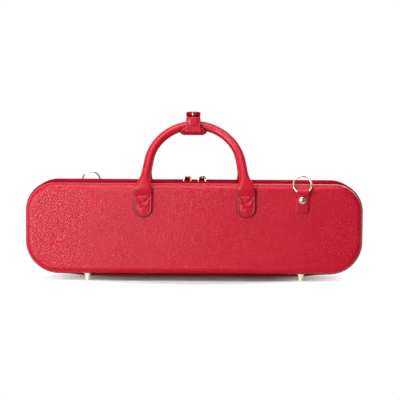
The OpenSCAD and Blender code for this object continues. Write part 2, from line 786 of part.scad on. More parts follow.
back_panel();
back_side_band();
back_padding();
back_board();
back_piping();
back_zip_tape();
back_zip_teeth();
back_zip_stops();
flute_bed();
spine_hinge();
back_feet();
back_foot_screws();
back_handle_tabs();
back_handle_ends();
back_ring_tab();
back_ring_stud();
back_stud_washer();
front_panel();
front_side_band();
front_padding();
front_board();
front_piping();
front_zip_tape();
front_zip_teeth();
front_zip_stops();
lid_pad();
front_feet();
front_foot_screws();
front_handle_tabs();
front_handle_ends();
front_ring_tab();
front_ring_stud();
front_stud_washer();
front_handle();
front_handle_cord();
keeper_pad();
keeper_front_strap();
keeper_rear_strap();
keeper_stud();
keeper_flap();
keeper_socket();
back_handle();
back_handle_cord();
front_ring();
back_ring();
left_slider();
left_pull();
left_pull_tag();
right_slider();
right_pull();
right_pull_tag();
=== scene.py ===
import math

import bpy
import bmesh
import numpy as np
from mathutils import Matrix, Vector


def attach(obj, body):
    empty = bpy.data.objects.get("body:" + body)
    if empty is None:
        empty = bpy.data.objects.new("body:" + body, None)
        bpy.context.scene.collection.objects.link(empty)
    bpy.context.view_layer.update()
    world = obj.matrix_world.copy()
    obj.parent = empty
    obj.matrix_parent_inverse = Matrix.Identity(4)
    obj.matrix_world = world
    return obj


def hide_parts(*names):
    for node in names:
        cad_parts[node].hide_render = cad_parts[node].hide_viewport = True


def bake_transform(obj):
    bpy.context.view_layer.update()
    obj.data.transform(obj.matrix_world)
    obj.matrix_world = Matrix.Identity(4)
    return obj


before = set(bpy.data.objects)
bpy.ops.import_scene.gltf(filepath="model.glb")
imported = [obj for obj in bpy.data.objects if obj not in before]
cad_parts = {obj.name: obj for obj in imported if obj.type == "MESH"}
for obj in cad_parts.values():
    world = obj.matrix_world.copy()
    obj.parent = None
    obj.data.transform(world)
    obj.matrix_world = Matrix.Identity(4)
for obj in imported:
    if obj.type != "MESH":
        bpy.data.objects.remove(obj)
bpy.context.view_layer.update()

# ---------------------------------------------------------------- sizes, in millimetres
MM = 0.001                     # a millimetre in the frame's metres
HALVES = ("front", "back")

LEN = 420.0
Z_LOW, Z_TOP = 7.5, 123.0      # the shell's lowest and highest part over the floor
R_TOP, R_BOTTOM = 37.0, 41.0   # corners of its outline
FACE = 36.0                    # depth of each face from the parting plane
EDGE = 7.5                     # rolled edge of a face
ROLL_V, ROLL_IN = 28.5, 9.4    # where that edge starts, and its inset on the flat
LEATHER, PADDING = 1.2, 0.8
COVER = LEATHER + PADDING
PIPE_R, PIPE_IN, PIPE_V = 1.5, 3.15, 28.2
CROWN_R = 27.265               # curve of the side band's outer side
BAND_LOW, BAND_HIGH, BAND_MID = 7.0, 27.0, 17.0
TAPE_IN, TAPE_T, TAPE_LOW, TAPE_HIGH = 3.9, 0.7, 2.7, 11.0
ZIP_IN, ZIP_PITCH, ZIP_TOP_H = 3.55, 2.0, 119.0

# the handles, in their own plane, which leans in from the flex line over the sewn ends
FLEX_V, FLEX_Z = 40.3, 116.5   # depth and height of the flex line
KNUCKLE = 2.6                  # half thickness there
TUBE_R, TUBE_GAP = 5.5, 7.0
ARCH_R, RISE, SPLAY = 58.5, 83.0, 10.0
FLARE = 20.0                   # length over which a leg widens to its sewn end
LEAN = math.degrees(math.asin((FLEX_V - TUBE_GAP) / RISE))
ARCH_Y = RISE - ARCH_R
TAN_SPLAY = math.tan(math.radians(SPLAY))
TURN_X = ARCH_R * math.cos(math.radians(SPLAY))
TURN_Y = ARCH_Y + ARCH_R * math.sin(math.radians(SPLAY))
LEG_X = TURN_X + TURN_Y * TAN_SPLAY
TUBE_Z = FLEX_Z + RISE * math.cos(math.radians(LEAN))

# a handle's sewn ends and the tabs behind them, which are coloured darker as painted shade round
# the ends
TAB_V, TAB_W, TAB_LOW, TAB_HIGH = 37.3, 25.2, FLEX_Z - 37.6, FLEX_Z - 3.0
TAB_EDGE, TAB_CENTRE_H = 0.55, 96
END_V, END_HALF, END_LOW, END_HIGH = 39.5, 10.5, FLEX_Z - 38.5 + 3.2, 108.7
END_SEAM_IN, END_SEAM_DEEP = 2.0, 0.75
END_MID = (TAB_V + END_V) / 2
V_TIP, V_TOP, V_HALF = 93.0, 106.5, 8.2   # the folded V: tip, top and half its width there
WAIST_H = 105.5                # where an end starts to swell towards the flex line

# the keeper on the front handle
KEEP_X, PAD_Y, POCKET, STRAP_T = -2.3, -7.7, 6.5, 1.5
PAD_HALF, PAD_SQUARE = 17.0, 10.5
STRAP_Y = PAD_Y - POCKET - 1.5 * STRAP_T
STRAP_LOW, STRAP_TOP = TUBE_Z - 8.1, TUBE_Z + 10.8
STRAP_WIDE, STRAP_NARROW = 20.0, 17.6
SNAP_Z = TUBE_Z + 5
REAR_Y, REAR_LOW, REAR_TOP, REAR_W = PAD_Y + POCKET + STRAP_T / 2, TUBE_Z - 2.1, TUBE_Z + 12.1, 17
FLAP_LEN, FLAP_W, FLAP_DROP, FLAP_CUT = 19.0, 18.0, 15, 3.4

# the strap rings' tabs
RING_X, RING_Z = 133.0, 112.1
RING_TAB_W, RING_TAB_T, RING_TAB_LOW = 14.8, 1.22, 86.4
LOOP_R, LOOP_V = 4.051, 40.051
RING_SEAM = (5.9, 87.9, 110.5, FACE + 2.48)   # half width, bottom, top and depth

SPINE_HALF, SPINE_SAG, SPINE_T = 14.0, 4.6, 1.3
SPINE_LEN_HALF, SPINE_FLAT = LEN / 2 - R_BOTTOM - 4, 34

SLIDER_X, PULL_Z, PULL_DROP = 9.2, 129.05, 13.0
TAG_LEN, TAG_W, TAG_START, TAG_T = 24.0, 6.8, 5.5, 1.1
TAG_SEAM_IN, TAG_PITCH = 1.3, 2.3


def place(half, x, h, v):
    """A point of a half drawn flat: x along the case, h its height, v its depth."""
    return (x, -v, h) if half == "front" else (-x, v, h)


def wave(x, y, seed=0.0):
    """A smooth uneven value between about -1 and 1, the same in every run."""
    value = math.sin(x + y * 0.37 + seed)
    value += math.sin(x * 0.43 - y * 1.13 + 2.1 * seed + 1.3)
    value += math.sin(x * 2.17 + y * 1.71 + 0.7 * seed + 4.0) * 0.5
    return value / 2.5


def smooth_step(t):
    t = max(0.0, min(1.0, t))
    return t * t * (3 - 2 * t)


def bell(d, width):
    """1 where d is 0, falling off smoothly over about width to each side."""
    return math.exp(-(d / width) ** 2)


def run_along(points):
    """Distance of each point from the first one, along the line through them."""
    return np.concatenate([[0], np.cumsum(np.linalg.norm(np.diff(points, axis=0), axis=1))])


# ---------------------------------------------------------------- meshes
def make(name, verts, faces, uv=None, smooth=True):
    """An object from points in millimetres. uv holds a pair of metres for each point."""
    mesh = bpy.data.meshes.new(name)
    mesh.from_pydata([(x * MM, y * MM, z * MM) for x, y, z in verts], [], faces)
    mesh.validate()
    if uv is not None:
        layer = mesh.uv_layers.new(name="along")
        for loop in mesh.loops:
            layer.data[loop.index].uv = uv[loop.vertex_index]
    even_normals(mesh)
    for poly in mesh.polygons:
        poly.use_smooth = smooth
    obj = bpy.data.objects.new(name, mesh)
    bpy.context.scene.collection.objects.link(obj)
    return obj


def even_normals(mesh, weld=None):
    """Turns the faces outward, after joining the points nearer than weld metres."""
    bm = bmesh.new()
    bm.from_mesh(mesh)
    if weld:
        bmesh.ops.remove_doubles(bm, verts=bm.verts, dist=weld)
    bmesh.ops.recalc_face_normals(bm, faces=bm.faces)
    bm.to_mesh(mesh)
    bm.free()


def soften(obj, width, segments):
    """Rounds the sharp edges of obj."""
    bevel = obj.modifiers.new("rounding", "BEVEL")
    bevel.width = width * MM
    bevel.segments = segments
    bevel.limit_method = "ANGLE"
    bevel.angle_limit = math.radians(38)
    return obj


def dress(obj, material, slot, *nodes):
    obj.data.materials.clear()
    obj.data.materials.append(material)
    if nodes:
        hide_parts(*nodes)
    return obj


def bridge(a, b, n, over=False):
    """Faces between two rings of n points that start at points a and b."""
    faces = []
    for j in range(n):
        k = (j + 1) % n
        faces.append((a + j, a + k, b + k, b + j) if over else (a + j, b + j, b + k, a + k))
    return faces


def cap(a, n, over=False):
    """The face that closes the ring of n points starting at point a."""
    return tuple(a + j for j in (reversed(range(n)) if over else range(n)))


# ---------------------------------------------------------------- outline of the case
def outline(step):
    """Points on the outline with their outward directions, from the bottom right round to the
    bottom left, and then along the bottom. The third value is where the bottom starts."""
    hl = LEN / 2
    parts = [
        ("arc", hl - R_BOTTOM, Z_LOW + R_BOTTOM, R_BOTTOM, -90),
        ("line", hl, Z_LOW + R_BOTTOM, hl, Z_TOP - R_TOP, 0),
        ("arc", hl - R_TOP, Z_TOP - R_TOP, R_TOP, 0),
        ("line", hl - R_TOP, Z_TOP, -hl + R_TOP, Z_TOP, 90),
        ("arc", -hl + R_TOP, Z_TOP - R_TOP, R_TOP, 90),
        ("line", -hl, Z_TOP - R_TOP, -hl, Z_LOW + R_BOTTOM, 180),
        ("arc", -hl + R_BOTTOM, Z_LOW + R_BOTTOM, R_BOTTOM, 180),
        ("line", -hl + R_BOTTOM, Z_LOW, hl - R_BOTTOM, Z_LOW, 270)]
    points, outward, bottom = [], [], 0
    for part in parts:
        bottom = len(points) if part is parts[-1] else bottom
        if part[0] == "arc":
            _, cx, cy, r, a0 = part
            n = max(8, round(math.pi / 2 * r / step))
            for i in range(n):
                a = math.radians(a0 + 90 * i / n)
                points.append((cx + r * math.cos(a), cy + r * math.sin(a)))
                outward.append((math.cos(a), math.sin(a)))
        else:
            _, x0, y0, x1, y1, a = part
            n = max(4, round(math.hypot(x1 - x0, y1 - y0) / step))
            for i in range(n):
                points.append((x0 + (x1 - x0) * i / n, y0 + (y1 - y0) * i / n))
                outward.append((math.cos(math.radians(a)), math.sin(math.radians(a))))
    return np.array(points), np.array(outward), bottom


def spaced(inset, pitch, offset, whole):
    """Points every pitch millimetres along the outline set in by inset, with their directions.
    Where whole is false the bottom is left out."""
    p, n, bottom = outline(0.7)
    if whole:
        p, n = np.vstack([p, p[:1]]), np.vstack([n, n[:1]])
    else:
        p, n = p[:bottom + 1], n[:bottom + 1]
    q = p - inset * n
    s = run_along(q)
    count = int(round(s[-1] / pitch))
    at = (np.arange(count) + offset) * s[-1] / count
    x, y = np.interp(at, s, q[:, 0]), np.interp(at, s, q[:, 1])
    nx, ny = np.interp(at, s, n[:, 0]), np.interp(at, s, n[:, 1])
    size = np.hypot(nx, ny)
    return list(zip(x, y, nx / size, ny / size))


def sweep(name, half, section, step=2.5, whole=True, uneven=None):
    """A closed section of (inset, depth) points carried round the outline. Where whole is false
    the bottom is left out. uneven gives a further inset for a length and a section point."""
    p, n, bottom = outline(step)
    if not whole:
        p, n = p[:bottom + 1], n[:bottom + 1]
    rows, m = len(p), len(section)
    along, across = run_along(p), run_along(section)
    verts, uv, faces = [], [], []
    for i in range(rows):
        for j, (inset, v) in enumerate(section):
            d = uneven(along[i], j) if uneven else 0.0
            x, h = p[i] - (inset + d) * n[i]
            verts.append(place(half, x, h, v))
            uv.append((along[i] * MM, across[j] * MM))
    for i in range(rows if whole else rows - 1):
        faces += bridge(i * m, (i + 1) % rows * m, m)
    if not whole:
        faces += [cap(0, m), cap((rows - 1) * m, m, over=True)]
    return make(name, verts, faces, uv)


def crown_inset(v, deep=0.0):
    """Inset of the side band's outer side at depth v, or of the surface deep under it."""
    r = CROWN_R - deep
    return CROWN_R - math.sqrt(r * r - (v - BAND_MID) ** 2)


# ---------------------------------------------------------------- shell pieces
def panel(half):
    """The padded leather face with its rolled edge, closed at the back."""
    outer = [(ROLL_IN - EDGE + 0.35, ROLL_V + 0.4)]
    for k in range(9):
        a = math.radians(8 + 82 * k / 8)
        outer.append((ROLL_IN - EDGE * math.cos(a), ROLL_V + EDGE * math.sin(a)))
    inner = [(ROLL_IN - (EDGE - COVER) * math.cos(math.radians(a)),
              ROLL_V + (EDGE - COVER) * math.sin(math.radians(a))) for a in (12, 35, 60, 90)]
    p, n, _ = outline(2.5)
    mid = (Z_LOW + Z_TOP) / 2
    reach = LEN / 2 - 54       # the rings draw in to a line along the middle, this long each way
    rows, verts, ring_of = len(p), [], []

    def ring(inset, v, share):
        ring_of.append(len(verts))
        for i in range(rows):
            x, h = p[i] - inset * n[i]
            sx = max(-reach, min(reach, x))
            x, h = x + (sx - x) * share, h + (mid - h) * share
            lift = 0.0
            if v > FACE - 2.5:
                # the leather lies a little unevenly over its padding, most of all low down
                low = max(0.0, 1 - (h - Z_LOW - 9) / 26)
                lift = 0.10 * wave(x / 19, h / 13) + 0.13 * low * wave(x / 7.5, h / 21, 2.0)
                lift = min(lift, 0.05)
            verts.append(place(half, x, h, v + lift))

    for inset, v in outer:
        ring(inset, v, 0)
    for share in (0.03, 0.08, 0.16, 0.27, 0.4, 0.55, 0.7, 0.85, 1.0):
        ring(ROLL_IN, FACE, share)
    turn = len(ring_of)
    for inset, v in inner:
        ring(inset, v, 0)
    for share in (0.5, 1.0):
        ring(ROLL_IN, FACE - COVER, share)
    faces = []
    for a, b in zip(ring_of[:turn], ring_of[1:turn]):
        faces += bridge(a, b, rows, over=True)
    for a, b in list(zip(ring_of[turn:], ring_of[turn + 1:])) + [(ring_of[0], ring_of[turn])]:
        faces += [f[::-1] for f in bridge(a, b, rows, over=True)]
    obj = make(half + "_panel_leather", verts, faces)
    even_normals(obj.data, weld=0.02 * MM)
    return obj


def side_band(half):
    """The crowned band round the side."""
    low, wide = BAND_LOW + 0.5, BAND_HIGH - BAND_LOW - 0.5
    section = []
    for k in range(13):
        v = low + wide * k / 12
        section.append((crown_inset(v) - 0.45 * math.sin(math.pi * k / 12), v))
    for k in range(9):
        v = BAND_HIGH - wide * k / 8
        section.append((crown_inset(v, LEATHER), v))
    edge = crown_inset(BAND_LOW)
    section += [(edge + 0.85, BAND_LOW + 0.08), (edge + 0.35, BAND_LOW + 0.02)]   # folded over
    return sweep(half + "_side_leather", half, section,
                 uneven=lambda s, j: 0.05 * wave(s / 11, j * 0.4, 5.0))


def piping(half):
    section = []
    for j in range(14):
        a = 2 * math.pi * j / 14
        section.append((PIPE_IN - PIPE_R * math.cos(a), PIPE_V + PIPE_R * math.sin(a)))
    return sweep(half + "_piping_leather", half, section, step=1.8,
                 uneven=lambda s, j: 0.045 * wave(s / 1.9, 0.3 * j, 1.0))


def zip_tape(half):
    section = [(TAPE_IN, TAPE_LOW), (TAPE_IN, TAPE_HIGH),
               (TAPE_IN - TAPE_T, TAPE_HIGH), (TAPE_IN - TAPE_T, TAPE_LOW)]
    return soften(sweep(half + "_zip_weave", half, section, whole=False), 0.15, 1)


def zip_coil(half):
    """One loop for each tooth. Round the corners and down the ends, the loops of the two halves
    stand between each other. Along the top the rows stand apart, and the sliders' posts run
    between them."""
    verts, faces = [], []
    wire, sides, turns, high, deep = 0.42, 5, 10, 1.2, 2.75
    for x, h, nx, ny in spaced(ZIP_IN, ZIP_PITCH, 0.25, False):
        on_top = h > ZIP_TOP_H and abs(x) < LEN / 2 - R_TOP
        low = 0.75 if on_top else -0.4
        mid, reach = (low + deep) / 2, (deep - low) / 2 - wire
        base = len(verts)
        for i in range(turns):
            a = 2 * math.pi * i / turns
            for j in range(sides):
                b = 2 * math.pi * j / sides
                off = (high - wire + wire * math.cos(b)) * math.sin(a)
                v = mid + (reach + wire * math.cos(b)) * math.cos(a)
                side = wire * math.sin(b)
                verts.append(place(half, x + off * nx - side * ny, h + off * ny + side * nx, v))
        for i in range(turns):
            faces += bridge(base + i * sides, base + (i + 1) % turns * sides, sides)
    return make(half + "_zip_coil", verts, faces)


# ---------------------------------------------------------------- stitches
def stitches(name, places, length=2.1, r=0.32):
    """One rounded thread for each (point, direction, outward) of places."""
    verts, faces, sides = [], [], 6
    stations = [(-0.5, 0.25, -0.3), (-0.3, 0.9, 0.05), (0.0, 1.0, 0.12),
                (0.3, 0.9, 0.05), (0.5, 0.25, -0.3)]   # along, size, height
    for point, direction, outward in places:
        d = Vector(direction).normalized()
        o = Vector(outward).normalized()
        s = d.cross(o).normalized()
        c = Vector(point) + o * (r * 0.35 - 0.05)
        base = len(verts)
        for t, w, up in stations:
            for j in range(sides):
                b = 2 * math.pi * j / sides
                q = c + d * (t * length) + s * (r * w * math.cos(b))
                verts.append(tuple(q + o * (r * (w * math.sin(b) + up))))
        last = base + (len(stations) - 1) * sides
        for a in range(base, last, sides):
            faces += bridge(a, a + sides, sides)
        faces += [cap(base, sides, over=True), cap(last, sides)]
    return make(name, verts, faces)


def flat_stitches(half, line, v, closed=False):
    """Stitch places along a line of (x, h) points at depth v."""
    line = np.array(line + (line[:1] if closed else []))
    s = run_along(line)
    count = max(2, int(round(s[-1] / 2.7)))
    out = []
    for k in range(count):
        at = (k + 0.5) * s[-1] / count
        a, b = [np.array([np.interp(at + d, s, line[:, i]) for i in (0, 1)]) for d in (-0.2, 0.2)]
        d = Vector(place(half, *b, v)) - Vector(place(half, *a, v))
        out.append((Vector(place(half, *((a + b) / 2), v)), d, Vector(place(half, 0, 0, 1))))
    return out


def band_stitches(half):
    places, v = [], BAND_LOW + 2.0
    for x, h, nx, ny in spaced(crown_inset(v), 3.2, 0.5, True):
        slope = (BAND_MID - v) / CROWN_R
        outward = Vector(place(half, nx, ny, 0)) - Vector(place(half, 0, 0, 1)) * slope
        places.append((place(half, x, h, v), place(half, -ny, nx, 0), outward))
    return stitches(half + "_side_stitches", places)


# ---------------------------------------------------------------- flat leather shapes
def outward_of(line, centre):
    """Outward directions at the points of a closed line drawn round centre."""
    d = np.roll(line, -1, axis=0) - np.roll(line, 1, axis=0)
    outward = np.stack([d[:, 1], -d[:, 0]], axis=1) / np.linalg.norm(d, axis=1)[:, None]
    return outward if np.sum(outward * (line - centre)) >= 0 else -outward


def layered(line, centre, levels):
    """Points and faces of a flat shape with the outline line, drawn round centre. Each level is
    an inset, a height and a share of the way to the centre."""
    line, centre = np.array(line), np.array(centre)
    outward, n, verts = outward_of(line, centre), len(line), []
    for inset, v, share in levels:
        for i in range(n):
            q = line[i] - inset * outward[i]
            q = q + (centre - q) * share
            verts.append((q[0], q[1], v))
    last = len(verts) - n
    faces = [cap(0, n, over=True)]
    for a in range(0, last, n):
        faces += bridge(a, a + n, n, over=True)
    return verts, faces + [cap(last, n)]


def handle_tab(name, half, x):
    """The tab behind a handle's sewn end, with a rounded edge."""
    r = TAB_EDGE
    levels = [(0, FACE, 0), (0, TAB_V - r, 0)]
    levels += [(r * (1 - math.cos(a)), TAB_V - r + r * math.sin(a), 0)
               for a in (0.55, 1.05, math.pi / 2)]
    levels += [(r, TAB_V, share) for share in (0.12, 0.25, 0.4, 0.55, 0.7, 0.85, 0.95)]
    verts, faces = layered(round_end(x, TAB_W, TAB_LOW, TAB_HIGH), (x, TAB_CENTRE_H), levels)
    return make(name, [place(half, *q) for q in verts], faces)


def round_end(cx, w, low, top, inset=0.0):
    """Outline of a strap end with a round bottom."""
    r, c = w / 2 - inset, low + w / 2
    count, steps = 20, 12
    line = [(cx + r * math.cos(a), c + r * math.sin(a))
            for a in [math.pi + math.pi * i / count for i in range(count + 1)]]
    line += [(cx + r, c + (top - inset - c) * i / steps) for i in range(1, steps + 1)]
    line += [(cx + r - 2 * r * i / 8, top - inset) for i in range(1, 8)]
    line += [(cx - r, top - inset - (top - inset - c) * i / steps) for i in range(steps)]
    return line


def ribbon(name, path, width, thick, x0=0.0, bulge=None):
    """A strap whose width lies along X. path holds (y, z) points on its middle."""
    path = np.array(path, float)
    n, r = len(path), 0.45
    d = np.gradient(path, axis=0)
    d /= np.linalg.norm(d, axis=1)[:, None]
    across = [-1, -0.985, -0.93, -0.85] + [k / 10 for k in range(-7, 8)] + [0.85, 0.93, 0.985, 1]
    verts = []
    for i in range(n):
        w = (width[i] if hasattr(width, "__len__") else width) / 2
        at_end = i in (0, n - 1)
        normal = np.array([d[i][1], -d[i][0]])
        for side in (1, -1):
            for a in across[::side]:
                edge = max(0.0, (abs(a) * w - (w - r)) / r)
                t = math.sqrt(max(0.12, 1 - min(1, edge) ** 2 * 0.88))
                t *= thick / 2 * (0.45 if at_end else 1.0)
                extra = bulge(a * w, i / (n - 1)) if bulge and side == 1 else 0.0
                q = path[i] + normal * side * (t + extra)
                verts.append((x0 + a * w * (0.985 if at_end else 1), q[0], q[1]))
    m = 2 * len(across)
    faces = [cap(0, m), cap((n - 1) * m, m, over=True)]
    for i in range(n - 1):
        faces += bridge(i * m, (i + 1) * m, m)
    return make(name, verts, faces)


# ---------------------------------------------------------------- handles
def in_handle_plane(x, y, out):
    """A point of the handle's own plane as x, height and depth."""
    c, s = math.cos(math.radians(LEAN)), math.sin(math.radians(LEAN))
    return x, FLEX_Z + y * c + out * s, FLEX_V - y * s + out * c


def fold(x, h):
    """Height of the V of folded leather on a handle's sewn end, over its flat surface."""
    if h > V_TOP:
        return 0.0
    side = V_HALF * (h - V_TIP) / (V_TOP - V_TIP)
    inside = (side - abs(x)) * 0.86
    groove, ridge = -1.35 * bell(inside, 0.95), 1.25 * bell(inside + 2.1, 1.2)
    return groove + ridge + 0.70 * smooth_step(inside / 1.6)


def squared(a, e):
    """Cosine and sine of a, of an ellipse that e below 1 makes squarer."""
    c, s = math.cos(a), math.sin(a)
    return math.copysign(abs(c) ** e, c), math.copysign(abs(s) ** e, s)


def end_ring(h, sides):
    """Section of a sewn end at height h."""
    c = END_LOW + END_HALF
    w = END_HALF if h >= c else math.sqrt(max(0.3, END_HALF ** 2 - (h - c) ** 2))
    t = smooth_step((h - WAIST_H) / (FLEX_Z - WAIST_H))
    mid = END_MID + t * (FLEX_V - END_MID)
    thick = (END_V - TAB_V) / 2 + t * (KNUCKLE - 1.1) - 0.85 * bell(h - 106.8, 1.0)
    ring = []
    for j in range(sides):
        a = 2 * math.pi * j / sides
        x, v = squared(a, 0.55 + 0.2 * t)
        edge, lift = w - abs(w * x), 0.0
        if math.sin(a) > 0.05:
            lift = fold(w * x, h) * smooth_step((edge - 1.0) / 1.8)
            lift -= 0.85 * bell(edge - 2.0, 0.75) * (1 - t)
        ring.append((LEG_X + w * x, h, mid + thick * v + lift))
    return ring


def arch_ring(x, y, direction, across, through, sides):
    """Section of a leg or of the arch, about the point x, y of the handle's plane."""
    e = 1 - 0.35 * min(1, (across / through - 1) / 2)
    dx, dy = math.cos(math.radians(direction - 90)), math.sin(math.radians(direction - 90))
    ring = []
    for j in range(sides):
        w, t = squared(2 * math.pi * j / sides, e)
        w = across * w + 0.05 * wave(x / 6, y / 6, j * 0.3)
        ring.append(in_handle_plane(x + w * dx, y + w * dy, through * t))
    return ring


def handle_sections(sides):
    """Sections from the bottom of one sewn end, round the arch, to the bottom of the other."""
    heights = [END_LOW + up for up in (0.15, 0.7, 1.5, 2.4)]
    heights += [END_LOW + 3.3 + i * 0.6 for i in range(52)]
    leg = [end_ring(h, sides) for h in heights if h < 113.6]
    for y in (-0.5, 1.2, 3, 5, 7, 9.5, 12, 15, 18):
        up = max(0, y) / FLARE
        across = TUBE_R + (11 - TUBE_R) * (1 - up) ** 1.6
        through = KNUCKLE + (TUBE_R - KNUCKLE) * (1 - (1 - up) ** 2)
        leg.append(arch_ring(LEG_X - y * TAN_SPLAY, y, 90 + SPLAY * up, across, through, sides))
    arch, tube = [], (TUBE_R, TUBE_R, sides)
    for k in range(8):
        y = FLARE + (TURN_Y - FLARE) * k / 8
        arch.append(arch_ring(LEG_X - y * TAN_SPLAY, y, 90 + SPLAY, *tube))
    for k in range(61):
        a = SPLAY + (180 - 2 * SPLAY) * k / 60
        x, y = ARCH_R * math.cos(math.radians(a)), ARCH_Y + ARCH_R * math.sin(math.radians(a))
        arch.append(arch_ring(x, y, a + 90, *tube))
    for k in range(8):
        y = TURN_Y - (TURN_Y - FLARE) * (k + 1) / 8
        arch.append(arch_ring(-(LEG_X - y * TAN_SPLAY), y, 270 - SPLAY, *tube))
    return leg + arch + [[(-x, h, v) for x, h, v in ring] for ring in reversed(leg)]


def handle(half):
    sides = 56
    rings = handle_sections(sides)
    verts = [place(half, *q) for ring in rings for q in ring]
    last = len(verts) - sides
    faces = [cap(0, sides), cap(last, sides, over=True)]
    for a in range(0, last, sides):
        faces += bridge(a, a + sides, sides)
    return make(half + "_handle_leather", verts, faces)


def handle_seam(half):
    """Stitches along the underside of the rolled tube, which stop where the keeper's pad is."""
    places, under = [], ARCH_R - TUBE_R
    for k in range(46):
        a = math.radians(SPLAY + 3 + (174 - 2 * SPLAY) * k / 45)
        x, y = under * math.cos(a), ARCH_Y + under * math.sin(a)
        if half == "front" and abs(x - KEEP_X) < PAD_HALF + 2:
            continue
        p, q, c = [Vector(place(half, *in_handle_plane(*at, 0))) for at in (
            (x, y), (x - math.sin(a), y + math.cos(a)), (x - math.cos(a), y - math.sin(a)))]
        places.append((p, q - p, c - p))
    return stitches(half + "_handle_seam", places)


# ---------------------------------------------------------------- keeper
def keeper_pad():
    """The sheet of leather that is folded up round the underside of the tube."""
    cz, across, around = TUBE_Z - 4.1, 44, 24
    verts = []
    for side in (1, 0):
        for i in range(across + 1):
            x = -PAD_HALF + 2 * PAD_HALF * i / across
            over = max(0.0, (abs(x) - PAD_SQUARE) / (PAD_HALF - PAD_SQUARE))
            reach, lift = 104 - 58 * over ** 2, 3.0 * over ** 2
            for j in range(around + 1):
                a = math.radians(-90 - reach + 2 * reach * j / around)
                edge = min(1.0, (1 - abs(2 * j / around - 1)) * 6 + 0.35)
                edge *= min(1.0, (PAD_HALF - abs(x)) * 0.8 + 0.35)
                r = POCKET + STRAP_T / 2 + (side - 0.5) * STRAP_T * edge
                z = cz + r * math.sin(a) + lift * max(0.0, -math.sin(a))
                verts.append((KEEP_X + x, PAD_Y + r * math.cos(a), z))
    row, layer = around + 1, (across + 1) * (around + 1)
    faces = []
    for i in range(across):
        for j in range(around):
            a = i * row + j
            faces.append((a, a + row, a + row + 1, a + 1))
            faces.append((layer + a, layer + a + 1, layer + a + row + 1, layer + a + row))
    for i in range(across):
        for j, flip in ((0, 1), (around, -1)):
            a = i * row + j
            faces.append((a, layer + a, layer + a + row, a + row)[::flip])
    for j in range(around):
        for i, flip in ((0, -1), (across, 1)):
            a = i * row + j
            faces.append((a, layer + a, layer + a + 1, a + 1)[::flip])
    return make("keeper_pad_leather", verts, faces)


def snap_bump(at, reach):
    """The round of leather over a snap's cap, on a strap where at is the snap's place along it."""
    def bulge(x, t):
        d = math.hypot(x, (t - at) * reach)
        rim = 1.0 - smooth_step((abs(x) - 6.6) / 1.2)
        return (0.88 * smooth_step((6.2 - d) / 2.0) - 0.05 * smooth_step((3.2 - d) / 1.2)) * rim
    return bulge


def keeper_straps():
    steps, tall = 56, STRAP_TOP - STRAP_LOW
    path = [(STRAP_Y, STRAP_LOW + tall * i / steps) for i in range(steps + 1)]
    width = [STRAP_WIDE + (STRAP_NARROW - STRAP_WIDE) * i / steps for i in range(steps + 1)]
    front = ribbon("keeper_front_leather", path[::-1], width[::-1], STRAP_T, KEEP_X,
                   bulge=snap_bump(1 - (SNAP_Z - STRAP_LOW) / tall, tall))
    path = [(REAR_Y, REAR_LOW + (REAR_TOP - 0.4 - REAR_LOW) * i / 12) for i in range(13)]
    return front, ribbon("keeper_rear_leather", path, REAR_W, STRAP_T, KEEP_X)


def keeper_flap():
    steps = 34
    left = [FLAP_LEN - FLAP_LEN * i / steps for i in range(steps + 1)]
    path = [(-FLAP_LEN * i / steps + (0.7 if i == 0 else 0), 0.0) for i in range(steps + 1)]
    width = [FLAP_W - 2 * max(0.0, FLAP_CUT - more) for more in left]
    obj = ribbon("keeper_flap_leather", path, width, STRAP_T)
    obj.data.transform(Matrix.Translation((KEEP_X * MM, REAR_Y * MM, REAR_TOP * MM))
                       @ Matrix.Rotation(math.radians(-FLAP_DROP), 4, "X"))
    return obj


def keeper_stitches():
    places = []
    for s in (-1, 1):
        for k in range(6):
            t = (k + 0.5) / 6
            z = STRAP_LOW + 1.5 + (STRAP_TOP - STRAP_LOW - 3) * t
            w = (STRAP_WIDE - (STRAP_WIDE - STRAP_NARROW) * t) / 2 - 1.5
            point = (KEEP_X + s * w, STRAP_Y - STRAP_T / 2, z)
            places.append((point, (-s * 0.14, 0, 1), (0, -1, 0)))
    return stitches("keeper_stitches", places, length=1.9, r=0.26)


# ---------------------------------------------------------------- strap ring tab
def ring_tab(half):
    """The strap that goes up behind the ring, over it and down again in front."""
    mid_r = LOOP_R - RING_TAB_T / 2 - 0.01
    path = [(-(FACE + 1.87), RING_TAB_LOW + i * 1.4) for i in range(15)]
    for k in range(21):
        a = math.radians(-62 + 242 * k / 20)
        path.append((-(LOOP_V + mid_r * math.cos(a)), RING_Z + mid_r * math.sin(a)))
    path += [(-(FACE + 0.62), RING_Z - 2 - i * 1.5) for i in range(16)]
    obj = ribbon(half + "_ring_leather", path, RING_TAB_W, RING_TAB_T, RING_X)
    if half == "back":
        obj.data.transform(Matrix.Rotation(math.pi, 4, "Z"))
    return obj


def ring_tab_stitches(half):
    wide, low, top, v = RING_SEAM
    near, far = RING_X - wide, RING_X + wide
    seam = flat_stitches(half, [(near, top), (near, low), (far, low), (far, top)], v)
    return stitches(half + "_tab_stitches", seam, length=1.8, r=0.3)


